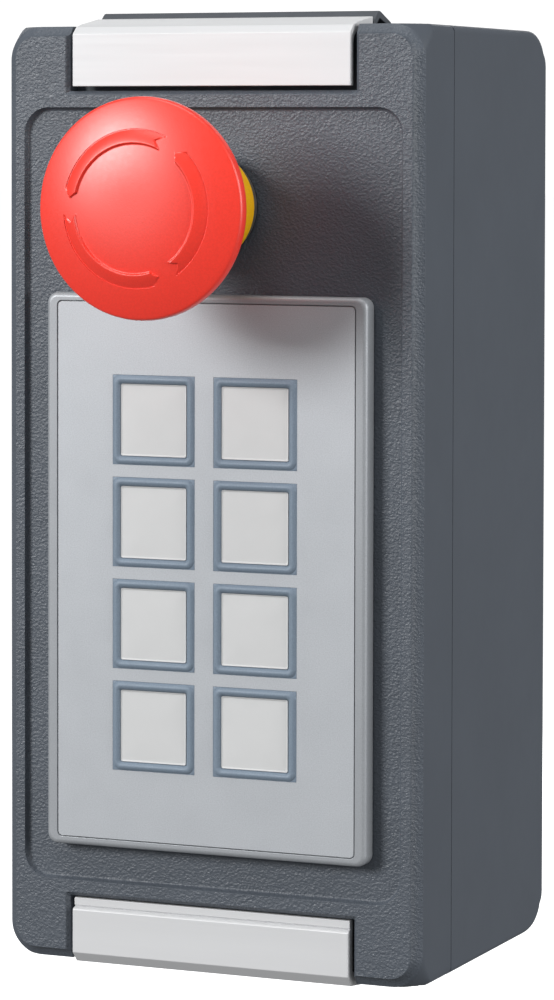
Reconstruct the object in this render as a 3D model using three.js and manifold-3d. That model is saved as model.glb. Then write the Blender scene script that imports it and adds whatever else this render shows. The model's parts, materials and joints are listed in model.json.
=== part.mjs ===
// Pendant control station: a two-part housing with an emergency-stop mushroom
// button above a keypad of eight short-stroke keys.
//
// Frame: millimetres, X to the right, Y to the back, Z up. The origin is the centre
// of the rear mounting face, so the front panel looks along -Y.

import * as THREE from 'three'
import { mergeVertices } from 'three/addons/utils/BufferGeometryUtils.js'
import Module from 'manifold-3d'

const wasm = await Module()
wasm.setup()

// ---------------------------------------------------------------- driving dimensions

const GAP = 0.3 // clearance between neighbouring pieces

// Housing
const WIDTH = 127
const HEIGHT = 266
const DEPTH = 107
const CORNER_R = 9.5 // corner radius at the rim of the front cove
const CORNER_RUN = 8 // depth over which the front corners run out into the long edges
const EDGE_R = 2 // radius of the long edges that run from front to back
const WALL = 3
const END_WALL = 5.5 // top and bottom walls carry the cover strips, so they are thicker
const INSIDE = { w: WIDTH - 2 * WALL, h: HEIGHT - 2 * END_WALL, r: 5 }
const EDGE_COVE = 2.8 // concave cove round the front face, width and depth
const REAR_FILLET = 8
const REAR_CORNER_R = 10
const REAR_CORNER_RUN = 13 // depth over which the long edges widen into the rear corners
const FACE_Y = -DEPTH
const SPLIT_Y = FACE_Y + 24.6 // parting plane between the shells
const TOP = HEIGHT / 2

// Shallow recess in the front face
const RECESS = { w: 115.8, h: 220.2, r: 7.5, depth: 1.8, draft: 1.1 }
const FLOOR_Y = FACE_Y + RECESS.depth
const PANEL_BACK_Y = FLOOR_Y + WALL

// Cover strips over the fixing screws, at the top and bottom edges
const STRIP = { w: 85, lip: 1.3, top: 1.3, y: FACE_Y - 0.4, wall: 2.2, inner: 116, edge: 130.8 }
const STRIP_BACK_Y = -91
const STRIP_CREST = 135.4 // height of the strip's rear edge above the centre
const POCKET_Y = FACE_Y + 6
const CHANNEL_Z = 131.2
const CHANNEL_BACK_Y = -88.3
const RAIL = { w: 85, front: -90.1, peak: -86.1, rear: -77.3, crest: 137.1, leg: 2 }

// Screws that join the shells, under the cover strips
const SCREW = { x: 36, z: 119.5, hole: 2.3, shank: 2, head: 3.5, headH: 2.6, length: 18 }
const POST_R = 4.2

// Keypad
const KEYPAD = { w: 98, h: 157, r: 2.6, z: -20.7, proud: 5.6 }
const KEYPAD_Y = FLOOR_Y - KEYPAD.proud
const CUTOUT = { w: 68, h: 129, r: 3 }
const FOIL = { w: 90.8, h: 152, r: 1.2, thick: 0.5, below: 0.15 }
const KEY = { size: 25.3, ridge: 2.5, pitchX: 31.08, pitchZ: 28.84, rows: 4, z: -21 }
const KEY_PROUD = 0.7 // the key's ridge stands this far above the foil
const FOIL_FRONT_Y = KEYPAD_Y + FOIL.below
const FOIL_BACK_Y = FOIL_FRONT_Y + FOIL.thick
const KEY_FRONT_Y = FOIL_FRONT_Y - KEY_PROUD
const BOARD_Y = FLOOR_Y + 1.2
const COVER = { front: BOARD_Y + 1.9, back: -72 } // tray behind the keypad's board

// Emergency stop, on an axis along Y
const STOP_Z = 82.5
const STOP = { hole: 11.15, head: 30.2, rimY: -153.8, rimBackY: -149.2, neckEndY: -117.6 }
const ARROW = { inner: 17.4, outer: 21.4, tail: 64.5, notch: 71.5, shoulder: 165.5, point: 171.8 }
const COLLAR = { r: 14.4, bore: 11.2, y: -112, notches: 8 }
const RING = { r: 16, bore: 13.5, y: -120, stepY: -114.6 }
const SLEEVE_BACK_Y = -90
const HOLDER_BACK_Y = -80
const PLUNGER_BACK_Y = -85.4

// Rear face: a plate over the cable entry, and threaded mounting holes
const PLATE = { w: 60, h: 34, r: 3, z: -92, thick: 2, screwX: 25, screwZ: 12 }
const ENTRY = { w: 40, h: 20, r: 3 }
const MOUNT_HOLE = { spacing: 75, radius: 2.5, depth: 10 }

// Wiring
const TERMINAL = { x: 0, z: 5, w: 34, h: 44, depth: 20 }
const TERMINAL_FRONT_Y = -WALL - GAP - TERMINAL.depth
const WIRE_R = 1.2

// Four places round a centre, from the top left: x and z of each
const fourPlaces = (x, z, centreZ = 0) =>
  [[-1, 1], [1, 1], [-1, -1], [1, -1]].map(([sx, sz]) => [sx * x, centreZ + sz * z])

const screwPlaces = fourPlaces(SCREW.x, SCREW.z)
const plateScrewPlaces = fourPlaces(PLATE.screwX, PLATE.screwZ, PLATE.z)
const mountPlaces = fourPlaces(MOUNT_HOLE.spacing / 2, MOUNT_HOLE.spacing / 2)
const clampPlaces = fourPlaces(1, 42, KEYPAD.z)

// ---------------------------------------------------------------- materials

const finish = (color, roughness, metalness = 0) =>
  new THREE.MeshStandardMaterial({ color, roughness, metalness })

const MATERIAL = {
  housing: finish(0x62676f, 0.62, 0.1),
  rearHousing: finish(0x585d66, 0.5, 0.1),
  rubber: finish(0x1d1e20, 0.85),
  strip: finish(0xd9dadb, 0.32, 0.9),
  rail: finish(0x4a4e55, 0.6),
  steel: finish(0xb9bcc0, 0.3, 1),
  bezel: finish(0xa3a6aa, 0.42, 0.5),
  foil: finish(0xbcc0c4, 0.38, 0.4),
  keyFrame: finish(0x6f7f90, 0.5),
  keyWindow: finish(0xd4d6d6, 0.45),
  stopRed: finish(0xf03a2a, 0.45),
  stopYellow: finish(0xe6aa00, 0.5),
  silver: finish(0xa9a9ab, 0.4, 0.8),
  blackPlastic: finish(0x26282b, 0.6),
  greyPlastic: finish(0x8c9094, 0.6),
  greenPlastic: finish(0x3f7f5a, 0.6),
  board: finish(0x1f5a3a, 0.55),
  brass: finish(0xc8a85a, 0.35, 1),
  wire: finish(0x3a4a8a, 0.55)
}

// ---------------------------------------------------------------- solids

// A closed geometry as a manifold solid with its faces pointing out.
function solid(geometry) {
  const bare = new THREE.BufferGeometry()
  bare.setAttribute('position', geometry.getAttribute('position'))
  if (geometry.index) bare.setIndex(geometry.index)
  const merged = mergeVertices(bare, 1e-4)
  const corners = Array.from(merged.index.array)
  const triangles = []
  for (let i = 0; i < corners.length; i += 3) {
    const [a, b, c] = corners.slice(i, i + 3)
    if (a !== b && b !== c && a !== c) triangles.push([a, b, c])
  }
  const place = merged.getAttribute('position')
  const point = i => new THREE.Vector3().fromBufferAttribute(place, i)
  const volume = triangles.reduce(
    (sum, [a, b, c]) => sum + point(a).dot(point(b).cross(point(c))),
    0
  )
  const facing = volume < 0 ? triangles.map(([a, b, c]) => [a, c, b]) : triangles
  return new wasm.Manifold(
    new wasm.Mesh({
      numProp: 3,
      vertProperties: new Float32Array(place.array),
      triVerts: new Uint32Array(facing.flat())
    })
  )
}

const join = (first, ...others) => others.reduce((body, other) => body.add(other), first)
const cut = (first, ...others) => others.reduce((body, other) => body.subtract(other), first)
const move = (body, x, y, z) => body.translate([x, y, z])
const mirrorZ = body => body.mirror([0, 0, 1])

// A named mesh of a manifold solid.
function piece(name, body, material) {
  const mesh = body.getMesh()
  const geometry = new THREE.BufferGeometry()
  geometry.setAttribute('position', new THREE.BufferAttribute(mesh.vertProperties, 3))
  geometry.setIndex(new THREE.BufferAttribute(mesh.triVerts, 1))
  geometry.computeVertexNormals()
  const made = new THREE.Mesh(geometry, material)
  made.name = name
  return made
}

function block(x0, x1, y0, y1, z0, z1) {
  const geometry = new THREE.BoxGeometry(x1 - x0, y1 - y0, z1 - z0)
  return move(solid(geometry), (x0 + x1) / 2, (y0 + y1) / 2, (z0 + z1) / 2)
}

// Points of a rounded rectangle in the XZ plane.
function roundedOutline(w, h, r, steps = 5) {
  const centres = [[1, 1], [-1, 1], [-1, -1], [1, -1]]
  return centres.flatMap(([sx, sz], quarter) =>
    Array.from({ length: steps + 1 }, (_, i) => {
      const angle = ((quarter + i / steps) * Math.PI) / 2
      return [
        sx * (w / 2 - r) + r * Math.cos(angle),
        sz * (h / 2 - r) + r * Math.sin(angle)
      ]
    })
  )
}

// A solid through a row of rounded rectangles {w, h, r, y}, one behind the other.
function stack(rings, steps = 5) {
  const vertices = []
  const index = []
  const count = 4 * (steps + 1)
  for (const { w, h, r, y } of rings) {
    for (const [x, z] of roundedOutline(w, h, r, steps)) vertices.push(x, y, z)
  }
  for (let ring = 0; ring + 1 < rings.length; ring++) {
    for (let i = 0; i < count; i++) {
      const a = ring * count + i
      const b = ring * count + ((i + 1) % count)
      index.push(a, b, a + count, b, b + count, a + count)
    }
  }
  const last = (rings.length - 1) * count
  for (let i = 1; i + 1 < count; i++) {
    index.push(0, i + 1, i)
    index.push(last, last + i, last + i + 1)
  }
  const geometry = new THREE.BufferGeometry()
  geometry.setAttribute('position', new THREE.Float32BufferAttribute(vertices, 3))
  geometry.setIndex(index)
  return solid(geometry)
}

const slab = (w, h, r, y0, y1, steps = 4) => stack([{ w, h, r, y: y0 }, { w, h, r, y: y1 }], steps)

// A flat ring between two rounded rectangles.
const frameSlab = (outer, inner, y0, y1) =>
  cut(
    slab(outer.w, outer.h, outer.r, y0, y1),
    slab(inner.w, inner.h, inner.r, y0 - 1, y1 + 1)
  )

// A solid of revolution about Y; the profile's points are [radius, y].
function turned(profile, segments = 24) {
  const points = profile.map(([r, y]) => new THREE.Vector2(r, y))
  if (profile[0][0] > 0) points.push(points[0].clone())
  return solid(new THREE.LatheGeometry(points, segments))
}

const rod = (r, y0, y1, segments = 12) =>
  turned([[0, y0], [r, y0], [r, y1], [0, y1]], segments)

const tube = (outer, inner, y0, y1, segments = 24) =>
  turned([[inner, y0], [outer, y0], [outer, y1], [inner, y1]], segments)

// A bar with a [y, z] cross-section, along X.
function bar(section, width) {
  const shape = new THREE.Shape(section.map(([y, z]) => new THREE.Vector2(y, z)))
  const geometry = new THREE.ExtrudeGeometry(shape, { depth: width, bevelEnabled: false })
  geometry.translate(0, 0, -width / 2)
  const axes = new THREE.Matrix4().makeBasis(
    new THREE.Vector3(0, 1, 0),
    new THREE.Vector3(0, 0, 1),
    new THREE.Vector3(1, 0, 0)
  )
  return solid(geometry.applyMatrix4(axes))
}

// A round wire through points.
function wire(points, radius, steps) {
  const path = new THREE.CatmullRomCurve3(points.map(p => new THREE.Vector3(...p)))
  const section = new THREE.Shape()
  section.absarc(0, 0, radius, 0, 2 * Math.PI)
  const options = { steps, curveSegments: 4, bevelEnabled: false, extrudePath: path }
  return solid(new THREE.ExtrudeGeometry(section, options))
}

const grow = (outline, by) => ({ w: outline.w + by, h: outline.h + by, r: outline.r })

// ---------------------------------------------------------------- housing

// Pocket and channel that the top cover strip lies in.
function stripPocket() {
  const half = STRIP.w / 2 + STRIP.lip
  return join(
    block(-half, half, FACE_Y - 1, POCKET_Y, STRIP.inner - STRIP.top, TOP + 1),
    block(-half, half, POCKET_Y - 1, CHANNEL_BACK_Y, CHANNEL_Z, TOP + 1)
  )
}

function frontShell() {
  const inset = { w: WIDTH - 2 * EDGE_COVE, h: HEIGHT - 2 * EDGE_COVE }
  const outer = stack([
    { ...inset, r: CORNER_R - 3, y: FACE_Y },
    { ...grow(inset, 0.6), r: CORNER_R - 2.8, y: FACE_Y + 0.8 },
    { ...grow(inset, 2.4), r: CORNER_R - 1.6, y: FACE_Y + 1.7 },
    { w: WIDTH, h: HEIGHT, r: CORNER_R, y: FACE_Y + EDGE_COVE },
    { w: WIDTH, h: HEIGHT, r: EDGE_R, y: FACE_Y + EDGE_COVE + CORNER_RUN },
    { w: WIDTH, h: HEIGHT, r: EDGE_R, y: SPLIT_Y - GAP / 2 }
  ])
  const floor = grow(RECESS, -2 * RECESS.draft)
  const recess = stack([
    { ...grow(RECESS, 1), y: FACE_Y - 1 },
    { ...RECESS, y: FACE_Y },
    { ...floor, r: RECESS.r - 1, y: FLOOR_Y }
  ])
  const sealRib = frameSlab(grow(INSIDE, 1), grow(INSIDE, -6.2), SPLIT_Y - 3.6, SPLIT_Y - 0.8)
  const hollow = slab(INSIDE.w, INSIDE.h, INSIDE.r, POCKET_Y + 2.5, SPLIT_Y + 1)
  const deepHollow = slab(INSIDE.w, 222, INSIDE.r, PANEL_BACK_Y, POCKET_Y + 3)
  const cutout = move(slab(CUTOUT.w, CUTOUT.h, CUTOUT.r, FACE_Y - 2, SPLIT_Y), 0, 0, KEYPAD.z)
  const stopHole = move(rod(STOP.hole, FACE_Y - 2, SPLIT_Y, 24), 0, 0, STOP_Z)
  const screwHoles = screwPlaces.map(([x, z]) => move(rod(SCREW.hole, -120, -90), x, 0, z))
  const hulled = join(cut(outer, hollow, deepHollow), sealRib)
  return cut(
    hulled,
    recess,
    cutout,
    stopHole,
    stripPocket(),
    mirrorZ(stripPocket()),
    ...screwHoles
  )
}

// Rear outline a part of the way along the run from the long edges to the rear corners.
function runRing(part) {
  const bend = 1 - Math.sqrt(1 - part * part)
  const r = EDGE_R + (REAR_CORNER_R - EDGE_R) * bend
  return { w: WIDTH, h: HEIGHT, r, y: -REAR_FILLET - REAR_CORNER_RUN * (1 - part) }
}

// Rear outline a part of the way round the fillet to the rear face.
function filletRing(part) {
  const angle = (part * Math.PI) / 2
  const d = REAR_FILLET * (1 - Math.cos(angle))
  return {
    w: WIDTH - 2 * d,
    h: HEIGHT - 2 * d,
    r: REAR_CORNER_R - d * 0.35,
    y: -REAR_FILLET * (1 - Math.sin(angle))
  }
}

function rearShell() {
  const outer = stack([
    { w: WIDTH, h: HEIGHT, r: EDGE_R, y: SPLIT_Y + GAP / 2 },
    ...[0, 0.5, 0.8, 0.95].map(runRing),
    ...[0, 0.25, 0.5, 0.75, 1].map(filletRing)
  ])
  const hollow = stack([
    { ...INSIDE, y: SPLIT_Y - 1 },
    { ...INSIDE, y: -REAR_FILLET },
    { ...grow(INSIDE, -8), y: -WALL }
  ])
  const ledge = frameSlab(grow(INSIDE, 1), grow(INSIDE, -6.2), SPLIT_Y + 2.4, SPLIT_Y + 5)
  const posts = screwPlaces.map(([x, z]) => move(rod(POST_R, POCKET_Y + 2.8, -1), x, 0, z))
  const bosses = mountPlaces.map(([x, z]) => move(rod(6, -13, -1, 16), x, 0, z))
  const plateBosses = plateScrewPlaces.map(([x, z]) => move(rod(3.4, -9, -1), x, 0, z))
  const threads = screwPlaces.map(([x, z]) => move(rod(SCREW.hole, -120, -80), x, 0, z))
  const mountHole = rod(MOUNT_HOLE.radius, -MOUNT_HOLE.depth, 1, 16)
  const mountHoles = mountPlaces.map(([x, z]) => move(mountHole, x, 0, z))
  const plateSeat = slab(PLATE.w + 0.8, PLATE.h + 0.8, PLATE.r, -PLATE.thick - 1.2, 1)
  const entry = slab(ENTRY.w, ENTRY.h, ENTRY.r, -20, 1)
  const plateThreads = plateScrewPlaces.map(([x, z]) => move(rod(1.6, -7.5, 1), x, 0, z))
  const plateLand = move(slab(PLATE.w + 8, PLATE.h + 8, 4, -6.5, -1), 0, 0, PLATE.z)
  const filled = join(cut(outer, hollow), ledge, ...posts, ...bosses, plateLand, ...plateBosses)
  return cut(
    filled,
    ...threads,
    ...mountHoles,
    move(plateSeat, 0, 0, PLATE.z),
    move(entry, 0, 0, PLATE.z),
    ...plateThreads
  )
}

function shellGasket() {
  return frameSlab(grow(INSIDE, -0.8), grow(INSIDE, -5.6), SPLIT_Y - 0.5, SPLIT_Y + 2.1)
}

// Cap screw that joins the shells, with a hexagon socket.
function shellScrew(x, z) {
  const head = rod(SCREW.head, POCKET_Y - GAP - SCREW.headH, POCKET_Y - GAP, 16)
  const shank = rod(SCREW.shank, POCKET_Y - GAP - 1, POCKET_Y + SCREW.length, 12)
  const socket = rod(1.7, POCKET_Y - 10, POCKET_Y - GAP - 1.2, 6)
  return move(cut(join(head, shank), socket), x, 0, z)
}

// Cover strip over the top screws: a front plate that turns back over the housing's edge.
function topStrip() {
  const { y, wall, inner, edge } = STRIP
  const under = CHANNEL_Z + GAP
  const section = [
    [y, inner],
    [y, edge],
    [y + 2.2, edge + 2],
    [y + 5.6, edge + 2.9],
    [STRIP_BACK_Y, STRIP_CREST],
    [STRIP_BACK_Y, under],
    [POCKET_Y - 0.6, under],
    [y + wall + 0.6, edge - 1.2],
    [y + wall, edge - 3],
    [y + wall, inner]
  ]
  return join(bar(section, STRIP.w), ...snapLugs(edge - 6))
}

// Lugs behind a cover strip that grip the screw pocket.
function snapLugs(z) {
  const lug = block(-4, 4, STRIP.y + STRIP.wall - 0.5, POCKET_Y - GAP, z - 6, z)
  return [-14, 14].map(x => move(lug, x, 0, 0))
}

// The bottom strip has a set-back band and a fine groove above its main face.
function bottomStrip() {
  const { y, wall, edge } = STRIP
  const under = CHANNEL_Z + GAP
  const section = [
    [y + 1.2, 115.2],
    [y + 1.2, 117.6],
    [y + 1.6, 117.8],
    [y, 118.2],
    [y, edge],
    [y + 2.6, edge + 2.9],
    [STRIP_BACK_Y, STRIP_CREST],
    [STRIP_BACK_Y, under],
    [POCKET_Y - 0.6, under],
    [y + wall + 1.4, edge - 1.2],
    [y + wall + 1.2, edge - 3],
    [y + wall + 1.2, 115.2]
  ]
  const lugs = snapLugs(edge - 6)
  return mirrorZ(join(bar(section, STRIP.w), ...lugs))
}

// Roof-shaped rail behind a strip, hollow under its crest.
function roofRail() {
  const { front, peak, rear, crest, leg } = RAIL
  const foot = TOP + GAP
  const section = [
    [front, foot],
    [front, foot + 0.9],
    [peak - 0.9, crest - 0.3],
    [peak, crest],
    [peak + 1.2, crest - 0.2],
    [rear, foot + 0.8],
    [rear, foot],
    [rear - 2.6, foot],
    [peak + 0.3, crest - leg],
    [front + leg, foot]
  ]
  return bar(section, RAIL.w)
}

// ---------------------------------------------------------------- cable entry

function cablePlate() {
  const plate = slab(PLATE.w, PLATE.h, PLATE.r, -PLATE.thick, 0)
  const holes = plateScrewPlaces.map(([x, z]) => move(rod(1.8, -9, 1), x, 0, z - PLATE.z))
  const sinks = plateScrewPlaces.map(([x, z]) => move(rod(3.3, -0.9, 1, 16), x, 0, z - PLATE.z))
  return move(cut(plate, ...holes, ...sinks), 0, 0, PLATE.z)
}

function cablePlateGasket() {
  const sheet = frameSlab(grow(PLATE, -1), ENTRY, -PLATE.thick - 0.9, -PLATE.thick - GAP)
  const holes = plateScrewPlaces.map(([x, z]) => move(rod(1.9, -9, 1), x, 0, z - PLATE.z))
  return move(cut(sheet, ...holes), 0, 0, PLATE.z)
}

function plateScrew(x, z) {
  const body = turned([[0, 0], [2.9, 0], [2.9, -0.6], [1.3, -0.6], [1.3, -7], [0, -7]], 12)
  const slot = rod(1.1, -0.4, 1, 6)
  return move(cut(body, slot), x, 0, z)
}

// ---------------------------------------------------------------- keypad

const keyPlaces = []
for (let row = 0; row < KEY.rows; row++) {
  const z = KEY.z + (1.5 - row) * KEY.pitchZ
  keyPlaces.push([-KEY.pitchX / 2, z], [KEY.pitchX / 2, z])
}

// Openings of the keys through the bezel or the foil, before the keypad is put in place.
const keyOpenings = (y0, y1) =>
  keyPlaces.map(([x, z]) =>
    move(slab(KEY.size + 2 * GAP, KEY.size + 2 * GAP, 1.4, y0, y1, 2), x, 0, z - KEYPAD.z)
  )

function keypadBezel() {
  const { w, h, r } = KEYPAD
  const back = FLOOR_Y - GAP
  const outer = stack([
    { w: w - 2, h: h - 2, r: r - 0.6, y: KEYPAD_Y },
    { w: w - 0.6, h: h - 0.6, r: r - 0.2, y: KEYPAD_Y + 0.4 },
    { w, h, r, y: KEYPAD_Y + 1.2 },
    { w, h, r, y: back }
  ])
  const foilSeat = slab(FOIL.w + 0.6, FOIL.h + 0.6, FOIL.r, KEYPAD_Y - 1, FOIL_BACK_Y + GAP)
  const rearHollow = slab(CUTOUT.w, CUTOUT.h, CUTOUT.r, KEYPAD_Y + 3.4, back + 1)
  const seal = { w, h, r: 2 }
  const groove = frameSlab(grow(seal, -6), grow(seal, -14), back - 1.6, back + 1)
  const body = cut(outer, foilSeat, rearHollow, groove, ...keyOpenings(KEYPAD_Y - 1, back + 1))
  return move(body, 0, 0, KEYPAD.z)
}

function keypadFoil() {
  const sheet = slab(FOIL.w, FOIL.h, FOIL.r, FOIL_FRONT_Y, FOIL_BACK_Y)
  return move(cut(sheet, ...keyOpenings(KEYPAD_Y - 1, FOIL_BACK_Y + 1)), 0, 0, KEYPAD.z)
}

function keypadGasket() {
  const seal = { w: KEYPAD.w, h: KEYPAD.h, r: 2 }
  const y = FLOOR_Y - GAP
  const ring = frameSlab(grow(seal, -7), grow(seal, -13), y - 1.2, y)
  return move(ring, 0, 0, KEYPAD.z)
}

// A key: raised frame round a tray for its window, with a stem at the back.
function keyCap(x, z) {
  const { size, ridge } = KEY
  const inner = size - 2 * ridge
  const frame = stack(
    [
      { w: size - 1.4, h: size - 1.4, r: 0.9, y: KEY_FRONT_Y },
      { w: size - 0.4, h: size - 0.4, r: 1.1, y: KEY_FRONT_Y + 0.35 },
      { w: size, h: size, r: 1.2, y: KEY_FRONT_Y + 0.8 },
      { w: size, h: size, r: 1.2, y: KEY_FRONT_Y + 2.9 }
    ],
    2
  )
  const tray = slab(inner, inner, 0.8, KEY_FRONT_Y - 1, KEY_FRONT_Y + 2.1, 2)
  const stem = rod(2.5, KEY_FRONT_Y + 2.5, FLOOR_Y - 1)
  return move(join(cut(frame, tray), stem), x, 0, z)
}

function keyWindow(x, z) {
  const size = KEY.size - 2 * KEY.ridge - 2 * GAP
  return move(slab(size, size, 0.6, KEY_FRONT_Y + 0.6, KEY_FRONT_Y + 1.8, 2), x, 0, z)
}

const domeSheet = () =>
  move(slab(CUTOUT.w - 2, CUTOUT.h - 2, 2, FLOOR_Y + 0.1, BOARD_Y - GAP), 0, 0, KEYPAD.z)

const keypadBoard = () =>
  move(slab(CUTOUT.w - 2, CUTOUT.h - 2, 2, BOARD_Y, BOARD_Y + 1.6), 0, 0, KEYPAD.z)

// Open tray behind the keypad's board.
function keypadCover() {
  const outer = slab(CUTOUT.w - 1, CUTOUT.h - 1, 2.5, COVER.front, COVER.back)
  const inner = slab(CUTOUT.w - 4.4, CUTOUT.h - 4.4, 1.5, COVER.front - 1, COVER.back - 1.8)
  return move(cut(outer, inner), 0, 0, KEYPAD.z)
}

// Clamp that pulls the keypad against the panel from behind.
function keypadClamp(x, z) {
  const side = Math.sign(x)
  const near = CUTOUT.w / 2 - 0.5 + GAP
  const [x0, x1] = side > 0 ? [near, near + 7] : [-near - 7, -near]
  const foot = block(x0, x1, PANEL_BACK_Y + 5, PANEL_BACK_Y + 12, z - 4, z + 4)
  const screw = move(rod(1.7, PANEL_BACK_Y + GAP, PANEL_BACK_Y + 16, 10), (x0 + x1) / 2 + side, 0, z)
  return join(foot, screw)
}

function keypadPlug() {
  const body = block(-19, 19, COVER.back + GAP, COVER.back + 9, KEYPAD.z - 4.5, KEYPAD.z + 4.5)
  const slots = [-15, -9, -3, 3, 9, 15].map(x =>
    block(x - 1.6, x + 1.6, COVER.back + 5, COVER.back + 10, KEYPAD.z - 2.5, KEYPAD.z + 2.5)
  )
  return cut(body, ...slots)
}

// ---------------------------------------------------------------- emergency stop

const atStop = body => move(body, 0, 0, STOP_Z)

// Raised arrow on the button's face, one of a ring of three. Its angles run from the
// notched tail to the point, anticlockwise as the user sees it.
function headArrow(turn) {
  const { inner, outer, tail, notch, shoulder, point } = ARROW
  const middle = (inner + outer) / 2
  const rad = THREE.MathUtils.degToRad
  const at = (r, angle) => [r * Math.cos(rad(angle)), r * Math.sin(rad(angle))]
  const shape = new THREE.Shape()
  shape.moveTo(...at(outer, tail))
  shape.absarc(0, 0, outer, rad(tail), rad(shoulder), false)
  shape.lineTo(...at(middle, point))
  shape.lineTo(...at(inner, shoulder))
  shape.absarc(0, 0, inner, rad(shoulder), rad(tail), true)
  shape.lineTo(...at(middle, notch))
  const geometry = new THREE.ExtrudeGeometry(shape, {
    depth: 2.1,
    curveSegments: 10,
    bevelEnabled: false
  })
  geometry.rotateX(Math.PI / 2).translate(0, STOP.rimY - 0.8, 0)
  return solid(geometry.rotateY(turn))
}

function stopHead() {
  const { head, rimY, rimBackY, neckEndY } = STOP
  const body = turned(
    [
      [0, rimY - 4.2],
      [10, rimY - 3.7],
      [18, rimY - 2.6],
      [24, rimY - 1.2],
      [28.4, rimY + 0.4],
      [head - 0.5, rimY + 1.6],
      [head, rimY + 3],
      [head - 0.2, rimBackY + 1.4],
      [head - 1.6, rimBackY + 2],
      [18, rimBackY + 6.5],
      [13.6, rimBackY + 12],
      [12.6, neckEndY],
      [7.4, neckEndY],
      [7.4, -108],
      [0, -108]
    ],
    40
  )
  const arrows = [0, 1, 2].map(i => headArrow((i * 2 * Math.PI) / 3))
  return atStop(join(body, ...arrows))
}

function stopCollar() {
  const { r, bore, y, notches } = COLLAR
  const ring = tube(r, bore, y, FLOOR_Y - 1.2, 32)
  const notch = block(bore, r + 2, y - 1, y + 1.4, -1.3, 1.3)
  const angles = Array.from({ length: notches }, (_, i) => (i * 360) / notches + 10)
  const cuts = angles.map(angle => notch.rotate([0, angle, 0]))
  return atStop(cut(ring, ...cuts))
}

// Yellow sleeve in front of the collar, with a narrower spigot behind.
function stopRing() {
  const { r, bore, y, stepY } = RING
  const sleeve = tube(r, bore, y, stepY)
  return atStop(join(sleeve, tube(COLLAR.r, bore, y + 1, COLLAR.y - GAP)))
}

const stopSeal = () => atStop(tube(COLLAR.r - 0.3, 11.6, FLOOR_Y - 0.9, FLOOR_Y - GAP))

function stopSleeve() {
  const body = turned([
    [8, -112.2],
    [10.8, -112.2],
    [10.8, SLEEVE_BACK_Y],
    [4.4, SLEEVE_BACK_Y],
    [4.4, SLEEVE_BACK_Y - 2],
    [8, SLEEVE_BACK_Y - 2]
  ])
  return atStop(body)
}

function stopHolder() {
  const body = slab(30, 40, 2, PANEL_BACK_Y + GAP, HOLDER_BACK_Y)
  const bore = rod(STOP.hole, PANEL_BACK_Y - 1, HOLDER_BACK_Y + 1, 24)
  return atStop(cut(body, bore))
}

// Shaft that the button pushes; its spring sits behind the front collar.
function stopPlunger() {
  return atStop(join(rod(7.4, -107.7, -104, 20), rod(3.8, -104.5, PLUNGER_BACK_Y, 16)))
}

function stopSpring() {
  const start = -102.6
  const end = SLEEVE_BACK_Y - 3.7
  const turns = 3
  const points = Array.from({ length: turns * 8 + 1 }, (_, i) => {
    const angle = (i / 8) * 2 * Math.PI
    const along = start + ((end - start) * i) / (turns * 8)
    return [5.9 * Math.cos(angle), along, 5.9 * Math.sin(angle)]
  })
  return atStop(wire(points, 0.7, turns * 12))
}

function contactBlock(side) {
  const x = side * 6.2
  const body = block(x - 5.9, x + 5.9, HOLDER_BACK_Y + GAP, -52, -19, 19)
  const terminals = [-13, 13].map(z => block(x - 3, x + 3, -58, -51, z - 3.2, z + 3.2))
  return atStop(cut(body, ...terminals))
}

// ---------------------------------------------------------------- wiring

function terminalBlock() {
  const { x, z, w, h, depth } = TERMINAL
  const back = -WALL - GAP
  const body = block(x - w / 2, x + w / 2, back - depth, back, z - h / 2, z + h / 2)
  const ways = [-14, -7, 0, 7, 14].flatMap(dz =>
    [-10, 10].map(dx => block(x + dx - 2, x + dx + 2, -40, back - depth + 3, z + dz - 2, z + dz + 2))
  )
  return cut(body, ...ways)
}

// Earth bolt with two nuts, on the rear wall.
function earthStud() {
  const back = -WALL - GAP
  const bolt = rod(2.5, back - 18, back)
  const nuts = [rod(5, back - 4, back, 6), rod(4.6, back - 12, back - 9, 6)]
  return move(join(bolt, ...nuts), -40, 0, 62)
}

// Wires from a contact block down to the terminal block.
const stopWires = () =>
  wire(
    [[6.2, -55, 69.5], [6.2, -49, 69.5], [8, -41, 62], [10, -37, 40], [10, -33, 22],
      [10, -28, 19], [10, TERMINAL_FRONT_Y + 1, 19]],
    WIRE_R,
    28
  )

// Wires from the keypad's plug up to the terminal block.
const keypadWires = () =>
  wire(
    [[-3, -65, -20.7], [-3, -58, -20.7], [-6, -48, -22], [-10, -38, -16], [-10, -30, -9.5],
      [-10, -27, -9], [-10, TERMINAL_FRONT_Y + 1, -9]],
    WIRE_R,
    28
  )

// ---------------------------------------------------------------- assembly

const group = new THREE.Group()
const add = (name, body, material) => group.add(piece(name, body, material))

add('front_shell', frontShell(), MATERIAL.housing)
add('rear_shell', rearShell(), MATERIAL.rearHousing)
add('shell_gasket', shellGasket(), MATERIAL.rubber)
screwPlaces.forEach(([x, z], i) => add(`shell_screw_${i + 1}`, shellScrew(x, z), MATERIAL.steel))
add('top_cover_strip', topStrip(), MATERIAL.strip)
add('bottom_cover_strip', bottomStrip(), MATERIAL.strip)
add('top_rail', roofRail(), MATERIAL.rail)
add('bottom_rail', mirrorZ(roofRail()), MATERIAL.rail)

add('cable_plate', cablePlate(), MATERIAL.rearHousing)
add('cable_plate_gasket', cablePlateGasket(), MATERIAL.rubber)
plateScrewPlaces.forEach(([x, z], i) => {
  add(`cable_plate_screw_${i + 1}`, plateScrew(x, z), MATERIAL.steel)
})

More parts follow.
